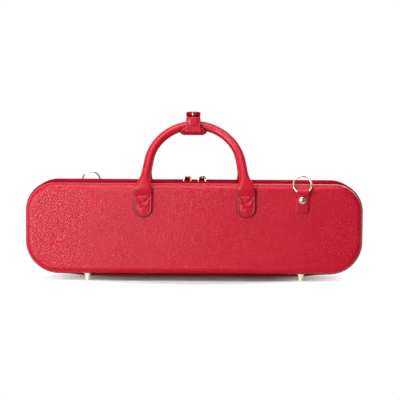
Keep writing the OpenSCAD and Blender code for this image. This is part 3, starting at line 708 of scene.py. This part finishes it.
# ---------------------------------------------------------------- spine
def spine():
    """The leather that joins the halves underneath, creased along its middle."""
    r = (SPINE_HALF ** 2 + SPINE_SAG ** 2) / (2 * SPINE_SAG)
    edge_z = Z_LOW + (CROWN_R - math.sqrt(CROWN_R ** 2 - (SPINE_HALF - BAND_MID) ** 2)) - 0.2
    cz = edge_z - SPINE_SAG + r
    half_len, nx, ny = SPINE_LEN_HALF, 130, 26
    verts = []
    for side in (0, 1):
        for i in range(nx + 1):
            x = -half_len + 2 * half_len * i / nx
            taper = 0.25 + 0.75 * smooth_step((half_len - abs(x)) / SPINE_FLAT)
            for j in range(ny + 1):
                y = -SPINE_HALF + 2 * SPINE_HALF * j / ny
                sag = edge_z - cz + math.sqrt(r * r - y * y)
                loose = 0.25 * wave(x / 17, y / 9, 3.0) * (1 - abs(y) / SPINE_HALF)
                z = edge_z - sag * taper + max(0.0, loose) + 0.22 * bell(y, 1.1)
                verts.append((x, y, z - side * SPINE_T))
    row, layer, faces = ny + 1, (nx + 1) * (ny + 1), []
    for i in range(nx):
        for j in range(ny):
            a = i * row + j
            faces.append((a, a + 1, a + row + 1, a + row))
            faces.append((layer + a, layer + a + row, layer + a + row + 1, layer + a + 1))
    for i in range(nx):
        a, b = i * row, i * row + ny
        faces.append((a, a + row, layer + a + row, layer + a))
        faces.append((b, layer + b, layer + b + row, b + row))
    for j in range(ny):
        a = nx * row + j
        faces.append((j, layer + j, layer + j + 1, j + 1))
        faces.append((a, a + 1, layer + a + 1, layer + a))
    return soften(make("spine_leather", verts, faces), 0.3, 2)


# ---------------------------------------------------------------- plush lining
def plush_piece(node, name, seed):
    """A soft lining with rounded corners, from the shape of its solid."""
    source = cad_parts[node]
    mesh = source.data.copy()
    mesh.transform(source.matrix_world)
    obj = bpy.data.objects.new(name, mesh)
    bpy.context.scene.collection.objects.link(obj)
    remesh = obj.modifiers.new("even", "REMESH")
    remesh.mode = "VOXEL"
    remesh.voxel_size = 1.9 * MM
    smooth = obj.modifiers.new("soft", "SMOOTH")
    smooth.factor, smooth.iterations = 0.5, 3
    solid = obj.evaluated_get(bpy.context.evaluated_depsgraph_get())
    done = bpy.data.meshes.new_from_object(solid)
    obj.modifiers.clear()
    obj.data = done
    normals = [v.normal.copy() for v in done.vertices]
    for v, n in zip(done.vertices, normals):
        d = 0.12 * wave(v.co.x * 110, v.co.z * 130 + v.co.y * 60, seed) - 0.12
        v.co += n * d * MM
    for poly in done.polygons:
        poly.use_smooth = True
    return obj


# ---------------------------------------------------------------- pull tags
def pull_tag(side):
    """The leather tag of a slider's pull, and its stitches."""
    w, top, run = TAG_W, TAG_LEN - TAG_W / 2, TAG_LEN - TAG_W / 2 - TAG_START
    line = [(w / 2 * math.cos(math.pi * i / 14), top + w / 2 * math.sin(math.pi * i / 14))
            for i in range(15)]
    line += [(-w / 2, top - run * i / 10) for i in range(1, 11)]
    line += [(-w / 2 + w * i / 4, TAG_START) for i in range(1, 4)]
    line += [(w / 2, TAG_START + run * i / 10) for i in range(10)]
    line, centre = np.array(line), np.array([0, (TAG_LEN + TAG_START) / 2])
    levels = [(0.9, -TAG_T, 0.5), (0.9, -TAG_T, 0.1), (0.3, -1.0, 0), (0, -0.6, 0),
              (0, 0.6, 0), (0.3, 1.0, 0), (0.9, TAG_T, 0.1), (0.9, TAG_T, 0.5)]
    tag = make(side + "_pull_leather", *layered(line, centre, levels))
    inner = line - TAG_SEAM_IN * outward_of(line, centre)
    s, places = run_along(inner), []
    for k in range(int(s[-1] / TAG_PITCH)):
        at = (k + 0.5) * TAG_PITCH
        a, b = [Vector((*(np.interp(at + d, s, inner[:, i]) for i in (0, 1)), TAG_T))
                for d in (-0.1, 0.1)]
        places.append(((a + b) / 2, b - a, (0, 0, 1)))
    seam = stitches(side + "_pull_stitches", places, length=1.5, r=0.24)
    x = -SLIDER_X if side == "left" else SLIDER_X
    put = (Matrix.Translation((x * MM, 0, PULL_Z * MM))
           @ Matrix.Rotation(math.radians(-PULL_DROP), 4, "X"))
    tag.data.transform(put)
    seam.data.transform(put)
    return tag, seam


# ---------------------------------------------------------------- materials
def new_material(name):
    m = bpy.data.materials.new(name)
    m.use_nodes = True
    return m, m.node_tree.nodes, m.node_tree.links, m.node_tree.nodes["Principled BSDF"]


def object_space(nodes):
    return nodes.new("ShaderNodeTexCoord").outputs["Object"]


def grey(v):
    return (v, v, v)


def tint(colour, k):
    return tuple(min(1.0, max(0.0, c * k)) for c in colour)


def texture(nodes, links, kind, scale, source, **options):
    """A texture node. options are sockets, or else settings of the node."""
    t = nodes.new("ShaderNodeTex" + kind)
    t.inputs["Scale"].default_value = scale
    for key, value in options.items():
        if key in t.inputs:
            t.inputs[key].default_value = value
        else:
            setattr(t, key, value)
    links.new(source, t.inputs["Vector"])
    return t


def ramp(nodes, links, source, *stops):
    """The colour at source between stops of a place and a colour."""
    r = nodes.new("ShaderNodeValToRGB")
    links.new(source, r.inputs["Fac"])
    e = r.color_ramp.elements
    while len(e) < len(stops):
        e.new(0.5)
    for item, (at, colour) in zip(e, stops):
        item.position = at
        item.color = (*colour, 1)
    return r.outputs["Color"]


def calc(nodes, links, kind, a, b, k=None):
    """a and b in one math node. With a factor k it is a times k, plus b."""
    m = nodes.new("ShaderNodeMath")
    m.operation = kind
    links.new(a, m.inputs[0])
    if k is not None:
        m.inputs[1].default_value = k
    links.new(b, m.inputs[1 if k is None else 2])
    return m.outputs[0]


def soft_step(nodes, links, value, low, high):
    """0 below low, 1 above high and a smooth step between them."""
    r = nodes.new("ShaderNodeMapRange")
    r.interpolation_type = "SMOOTHSTEP"
    links.new(value, r.inputs["Value"])
    r.inputs["From Min"].default_value = low
    r.inputs["From Max"].default_value = high
    return r.outputs["Result"]


def vector_calc(nodes, links, kind, where, by=None):
    v = nodes.new("ShaderNodeVectorMath")
    v.operation = kind
    links.new(where, v.inputs[0])
    if by is not None:
        v.inputs[1].default_value = by
    return v.outputs


def relief(nodes, links, shader, height, distance, strength=1.0):
    bump = nodes.new("ShaderNodeBump")
    bump.inputs["Strength"].default_value = strength
    bump.inputs["Distance"].default_value = distance
    links.new(height, bump.inputs["Height"])
    links.new(bump.outputs["Normal"], shader.inputs["Normal"])


def leather(name, colour, grain=0.0017, depth=0.00034, rough=0.38, gloss=0.14):
    """Grained leather: pebbles with fine creases between them. The colour is painted darker in the
    creases as painted shade, and a little lighter on the pebble tops.
    """
    m, nodes, links, shader = new_material(name)
    where = object_space(nodes)
    warp = texture(nodes, links, "Noise", 260, where, Detail=2.0)
    mix = nodes.new("ShaderNodeMix")
    mix.data_type = "VECTOR"
    mix.inputs["Factor"].default_value = 0.0011
    links.new(where, mix.inputs[4])
    links.new(warp.outputs["Color"], mix.inputs[5])
    pebbles = texture(nodes, links, "Voronoi", 1 / grain, mix.outputs[1],
                      feature="DISTANCE_TO_EDGE")
    height = ramp(nodes, links, pebbles.outputs["Distance"],
                  (0.0, grey(0)), (0.26, grey(0.8)), (0.5, grey(1)))
    fine = texture(nodes, links, "Noise", 2600, where, Detail=3.0)
    rough_top = calc(nodes, links, "MULTIPLY_ADD", fine.outputs["Fac"], height, k=0.25)
    relief(nodes, links, shader, rough_top, depth, strength=0.8)
    cloud = texture(nodes, links, "Noise", 330, where, Detail=2.0).outputs["Fac"]
    tone = ramp(nodes, links, cloud, (0.3, tint(colour, 0.95)), (0.7, tint(colour, 1.05)))
    # painted shade: the base colour is darkened between the pebbles and lifted a little on their
    # tops
    painted_crease_shade = ramp(nodes, links, height, (0.0, grey(0.76)), (1.0, grey(1.05)))
    blend = nodes.new("ShaderNodeMix")
    blend.data_type = "RGBA"
    blend.blend_type = "MULTIPLY"
    blend.inputs["Factor"].default_value = 1.0
    links.new(tone, blend.inputs[6])
    links.new(painted_crease_shade, blend.inputs[7])
    links.new(blend.outputs[2], shader.inputs["Base Color"])
    polish = ramp(nodes, links, cloud, (0.3, grey(rough + 0.04)), (0.7, grey(rough - 0.04)))
    links.new(polish, shader.inputs["Roughness"])
    shader.inputs["Specular IOR Level"].default_value = gloss
    return m


def thread(name, colour):
    m, nodes, links, shader = new_material(name)
    where = object_space(nodes)
    twist = texture(nodes, links, "Wave", 900, where, bands_direction="DIAGONAL")
    tone = ramp(nodes, links, twist.outputs["Fac"], (0.0, tint(colour, 0.75)),
                (1.0, tint(colour, 1.15)))
    links.new(tone, shader.inputs["Base Color"])
    shader.inputs["Roughness"].default_value = 0.6
    return m


def woven(name, colour):
    m, nodes, links, shader = new_material(name)
    uv = nodes.new("ShaderNodeUVMap")
    uv.uv_map = "along"
    warp, weft = [texture(nodes, links, "Wave", 420, uv.outputs["UV"], bands_direction=axis)
                  .outputs["Fac"] for axis in "XY"]
    weave = calc(nodes, links, "MULTIPLY", warp, weft)
    tone = ramp(nodes, links, weave, (0.0, tint(colour, 0.7)), (1.0, tint(colour, 1.2)))
    links.new(tone, shader.inputs["Base Color"])
    relief(nodes, links, shader, weave, 0.0002)
    shader.inputs["Roughness"].default_value = 0.85
    return m


def plush(name, colour):
    m, nodes, links, shader = new_material(name)
    where = object_space(nodes)
    pile = texture(nodes, links, "Noise", 1500, where, Detail=2.0).outputs["Fac"]
    nap = texture(nodes, links, "Noise", 45, where, Detail=3.0).outputs["Fac"]
    both = calc(nodes, links, "MULTIPLY_ADD", nap, pile, k=0.8)
    tone = ramp(nodes, links, both, (0.55, tint(colour, 0.6)), (1.0, tint(colour, 1.5)))
    links.new(tone, shader.inputs["Base Color"])
    relief(nodes, links, shader, pile, 0.0004)
    for socket, value in (("Roughness", 0.95), ("Sheen Weight", 0.6), ("Sheen Roughness", 0.4)):
        shader.inputs[socket].default_value = value
    return m


def gold(name, colour):
    """Plated metal, hazy in places and finely scratched."""
    m, nodes, links, shader = new_material(name)
    where = object_space(nodes)
    haze = texture(nodes, links, "Noise", 320, where, Detail=4.0).outputs["Fac"]
    polish = ramp(nodes, links, haze, (0.35, grey(0.24)), (0.75, grey(0.36)))
    tone = ramp(nodes, links, haze, (0.3, tint(colour, 0.94)), (0.7, colour))
    links.new(polish, shader.inputs["Roughness"])
    links.new(tone, shader.inputs["Base Color"])
    scratch = texture(nodes, links, "Noise", 1800, where, Detail=2.0)
    relief(nodes, links, shader, scratch.outputs["Fac"], 0.00004, strength=0.12)
    shader.inputs["Metallic"].default_value = 1.0
    return m


def speckled(name, colour, rough, scale):
    """Fibreboard or moulded plastic: an even colour with fine specks."""
    m, nodes, links, shader = new_material(name)
    where = object_space(nodes)
    specks = texture(nodes, links, "Noise", scale, where, Detail=5.0).outputs["Fac"]
    tone = ramp(nodes, links, specks, (0.35, tint(colour, 0.8)), (0.65, tint(colour, 1.12)))
    links.new(tone, shader.inputs["Base Color"])
    relief(nodes, links, shader, specks, 0.0001)
    shader.inputs["Roughness"].default_value = rough
    return m


RED = (0.63, 0.003, 0.026)
FINE = 0.0011   # grain of the thinner leathers
red = leather("red_leather", RED, grain=0.0023, depth=0.00026, rough=0.34)
# painted shade: the side band is a darker copy of the red leather, so that it reads as lying in
# shade
red_side_painted_shade = leather("side_leather", (0.46, 0.003, 0.018), gloss=0.0)
# painted shade: the tabs are a dark copy of the red leather, standing in for the shadow line round
# each sewn end
tab_painted_shade = leather("tab_leather_painted_shade", (0.30, 0.003, 0.014), grain=FINE, depth=0.00012)
red_strap = leather("strap_leather", RED, grain=FINE, depth=0.00004, gloss=0.16)
# painted highlight: the piping is a paler pink than the red leather, standing in for part of the
# light line along it; its gloss gives the rest
piping_painted_highlight = leather("piping_leather", (0.70, 0.045, 0.075), grain=0.0010, depth=0.00006,
                     rough=0.30, gloss=0.50)
# painted shade: a darker copy of the red leather for the spine underneath, the keeper's pad and
# its rear strap, which lie in shade
red_painted_shade = leather("red_leather_painted_shade", (0.48, 0.004, 0.020), grain=FINE, depth=0.00012)
red_thread = thread("red_thread", (0.50, 0.012, 0.034))
dark_thread = thread("dark_thread", (0.20, 0.003, 0.010))
tape_cloth = woven("tape_cloth", (0.33, 0.010, 0.028))
coil_plastic = speckled("coil_plastic", (0.36, 0.012, 0.032), 0.45, 900)
plush_red = plush("plush_lining", (0.17, 0.008, 0.020))
metal = gold("pale_gold", (0.62, 0.52, 0.39))
metal_feet = gold("satin_gold", (0.80, 0.68, 0.56))
fibreboard = speckled("fibreboard", (0.30, 0.25, 0.20), 0.9, 700)

# ---------------------------------------------------------------- building
for half in HALVES:
    body = half + "_half"
    arm = half + "_handle"

    skin = dress(panel(half), red, "leather", half + "_panel", half + "_padding")
    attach(skin, body)
    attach(dress(side_band(half), red_side_painted_shade, "leather", half + "_side_band"), body)
    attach(dress(piping(half), piping_painted_highlight, "piping", half + "_piping"), body)
    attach(dress(zip_tape(half), tape_cloth, "zip_tape", half + "_zip_tape"), body)
    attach(dress(zip_coil(half), coil_plastic, "zip_teeth", half + "_zip_teeth"), body)
    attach(dress(band_stitches(half), red_thread, "leather"), body)

    sewn = []
    for side, x in (("left", -LEG_X), ("right", LEG_X)):
        tab = handle_tab("%s_tab_%s" % (half, side), half, x)
        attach(dress(tab, tab_painted_shade, "leather", half + "_handle_tabs"), body)
        line = round_end(x, 2 * END_HALF, END_LOW, END_HIGH, inset=END_SEAM_IN)
        sewn += flat_stitches(half, line, END_V - END_SEAM_DEEP, closed=True)
    seam = stitches(half + "_end_stitches", sewn, length=1.9, r=0.44)
    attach(dress(seam, dark_thread, "leather"), body)

    grip = dress(handle(half), red_strap, "leather",
                 half + "_handle", half + "_handle_cord", half + "_handle_ends")
    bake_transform(grip)
    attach(dress(handle_seam(half), red_thread, "leather"), arm)

    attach(dress(ring_tab(half), red_strap, "leather", half + "_ring_tab"), body)
    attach(dress(ring_tab_stitches(half), dark_thread, "leather"), body)

front_strap, rear_strap = keeper_straps()
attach(dress(front_strap, red_strap, "leather", "keeper_front_strap"), "front_handle")
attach(dress(rear_strap, red_painted_shade, "leather", "keeper_rear_strap"), "front_handle")
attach(dress(keeper_pad(), red_painted_shade, "leather", "keeper_pad"), "front_handle")
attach(dress(keeper_flap(), red_strap, "leather", "keeper_flap"), "keeper_flap")
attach(dress(keeper_stitches(), red_thread, "leather"), "front_handle")

back_bone = dress(spine(), red_painted_shade, "leather", "spine_hinge")
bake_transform(back_bone)

for node, name, body, seed in (("flute_bed", "bed_plush", "back_half", 1.0),
                               ("lid_pad", "lid_plush", "front_half", 4.0)):
    soft = dress(plush_piece(node, name, seed), plush_red, "plush", node)
    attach(soft, body)

for side in ("left", "right"):
    tag, seam = pull_tag(side)
    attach(dress(tag, red_strap, "leather", side + "_pull_tag"), side + "_pull")
    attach(dress(seam, red_thread, "leather"), side + "_pull")

# the solids that show as they are
METAL = ["keeper_stud", "keeper_socket", "left_slider", "left_pull", "right_slider", "right_pull"]
METAL += [half + part for half in HALVES
          for part in ("_zip_stops", "_foot_screws", "_ring_stud", "_stud_washer", "_ring")]
plain = [(node, metal) for node in METAL]
plain += [(half + "_feet", metal_feet) for half in HALVES]
plain += [(half + "_board", fibreboard) for half in HALVES]
for node, material in plain:
    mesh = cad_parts[node].data
    mesh.materials.clear()
    mesh.materials.append(material)


# ---------------------------------------------------------------- stage, light and camera
def seen_white(nodes, links, where, axis, low, high):
    """Share of white: all of it for the camera. A reflection finds the white set behind the case
    and a darker room in front of it."""
    path = nodes.new("ShaderNodeLightPath").outputs
    behind = vector_calc(nodes, links, "DOT_PRODUCT", where, axis)["Value"]
    room = soft_step(nodes, links, behind, low, high)
    mirrored = calc(nodes, links, "MAXIMUM", path["Is Glossy Ray"], path["Is Transmission Ray"])
    mirrored = calc(nodes, links, "MULTIPLY", mirrored, room)
    return calc(nodes, links, "MAXIMUM", path["Is Camera Ray"], mirrored)


def white_floor():
    """A pale floor that takes the object's shadow near the case. It turns to plain white away
    from it, and farther out it is clear, on the white world, so that an opened lid shows."""
    m, nodes, links, shader = new_material("floor_white")
    shader.inputs["Base Color"].default_value = (0.72, 0.84, 0.84, 1)
    shader.inputs["Roughness"].default_value = 1.0
    shader.inputs["Specular IOR Level"].default_value = 0.0
    spot = object_space(nodes)
    # an oval round the case: its length and width are those at which reach is 1
    oval = vector_calc(nodes, links, "MULTIPLY", spot, (1 / 0.205, 1 / 0.10, 0))["Vector"]
    reach = vector_calc(nodes, links, "LENGTH", oval)["Value"]
    away = soft_step(nodes, links, reach, 0.45, 1.15)
    white = seen_white(nodes, links, spot, (0, 1, 0), -0.75, -0.35)
    glow = nodes.new("ShaderNodeEmission")
    links.new(calc(nodes, links, "MULTIPLY", white, away), glow.inputs["Strength"])
    lit = nodes.new("ShaderNodeAddShader")
    links.new(shader.outputs[0], lit.inputs[0])
    links.new(glow.outputs[0], lit.inputs[1])
    clear = soft_step(nodes, links, reach, 0.95, 1.20)
    path = nodes.new("ShaderNodeLightPath").outputs
    looked_at = calc(nodes, links, "MAXIMUM", path["Is Camera Ray"], path["Is Glossy Ray"])
    mix = nodes.new("ShaderNodeMixShader")
    links.new(calc(nodes, links, "MULTIPLY", clear, looked_at), mix.inputs["Fac"])
    links.new(lit.outputs[0], mix.inputs[1])
    links.new(nodes.new("ShaderNodeBsdfTransparent").outputs[0], mix.inputs[2])
    links.new(mix.outputs[0], nodes["Material Output"].inputs["Surface"])
    return m


FAR = 6000
floor = make("floor", [(-FAR, -FAR, 0), (FAR, -FAR, 0), (FAR, FAR, 0), (-FAR, FAR, 0)],
             [(0, 1, 2, 3)], smooth=False)
floor.data.materials.append(white_floor())
floor.visible_shadow = False

world = bpy.data.worlds.new("studio")
bpy.context.scene.world = world
world.use_nodes = True
nodes, links = world.node_tree.nodes, world.node_tree.links
background = nodes["Background"]
background.inputs["Color"].default_value = (1, 1, 1, 1)
level = nodes.new("ShaderNodeMapRange")   # a little less of it in reflections
links.new(nodes.new("ShaderNodeLightPath").outputs["Is Glossy Ray"], level.inputs["Value"])
level.inputs["To Min"].default_value = 0.26
level.inputs["To Max"].default_value = 0.20
sky = nodes.new("ShaderNodeTexCoord").outputs["Generated"]
white = seen_white(nodes, links, sky, (0, 1, -0.6), -0.35, 0.35)
strength = calc(nodes, links, "MAXIMUM", white, level.outputs["Result"])
links.new(strength, background.inputs["Strength"])


def turn_to(obj, direction, roll=0.0):
    """Turns a lamp or the camera to look along direction."""
    look = Vector(direction).to_track_quat("-Z", "Y").to_matrix()
    obj.rotation_mode = "QUATERNION"
    obj.rotation_quaternion = (look @ Matrix.Rotation(roll, 3, "Z")).to_quaternion()


def lamp(name, where, aim, size, power, gloss_only=False):
    light = bpy.data.lights.new(name, "AREA")
    light.shape = "RECTANGLE"
    light.size, light.size_y = size
    light.energy = power
    obj = bpy.data.objects.new(name, light)
    obj.location = where
    turn_to(obj, Vector(aim) - Vector(where))
    obj.visible_diffuse = not gloss_only
    bpy.context.scene.collection.objects.link(obj)


lamp("key", (-0.84, -1.14, 0.30), (0, 0, 0.07), (0.6, 0.5), 12.3)
lamp("fill", (0.7, 1.7, 0.9), (0, 0, 0.08), (1.0, 1.0), 11)
lamp("sheen", (-0.72, -1.15, 0.20), (0, 0, 0.07), (0.7, 0.5), 34, gloss_only=True)
lamp("sheen_top", (-0.1, -0.55, 1.2), (0, 0, 0.1), (0.9, 0.5), 22, gloss_only=True)
lamp("top", (-0.2, -0.35, 1.4), (0, 0, 0.1), (0.9, 0.6), 12.5)

# the camera that was fitted to the photo
SENSOR, FOCAL_PIXELS, PICTURE_PIXELS = 36, 1267, 400
DISTANCE, ELEVATION, YAW, ROLL = 1.600, math.radians(4.79), math.radians(-0.45), math.radians(0.40)
TARGET = Vector((0.00686, 0, 0.0985))
camera_data = bpy.data.cameras.new("camera")
camera = bpy.data.objects.new("camera", camera_data)
bpy.context.scene.collection.objects.link(camera)
camera_data.sensor_width = SENSOR
camera_data.lens = SENSOR * FOCAL_PIXELS / PICTURE_PIXELS
camera_data.clip_start, camera_data.clip_end = 0.05, 50
forward = Vector((-math.sin(YAW) * math.cos(ELEVATION), math.cos(YAW) * math.cos(ELEVATION),
                  -math.sin(ELEVATION)))
camera.location = TARGET - forward * DISTANCE
turn_to(camera, forward, ROLL)
bpy.context.scene.camera = camera
bpy.context.scene.view_settings.view_transform = "Standard"
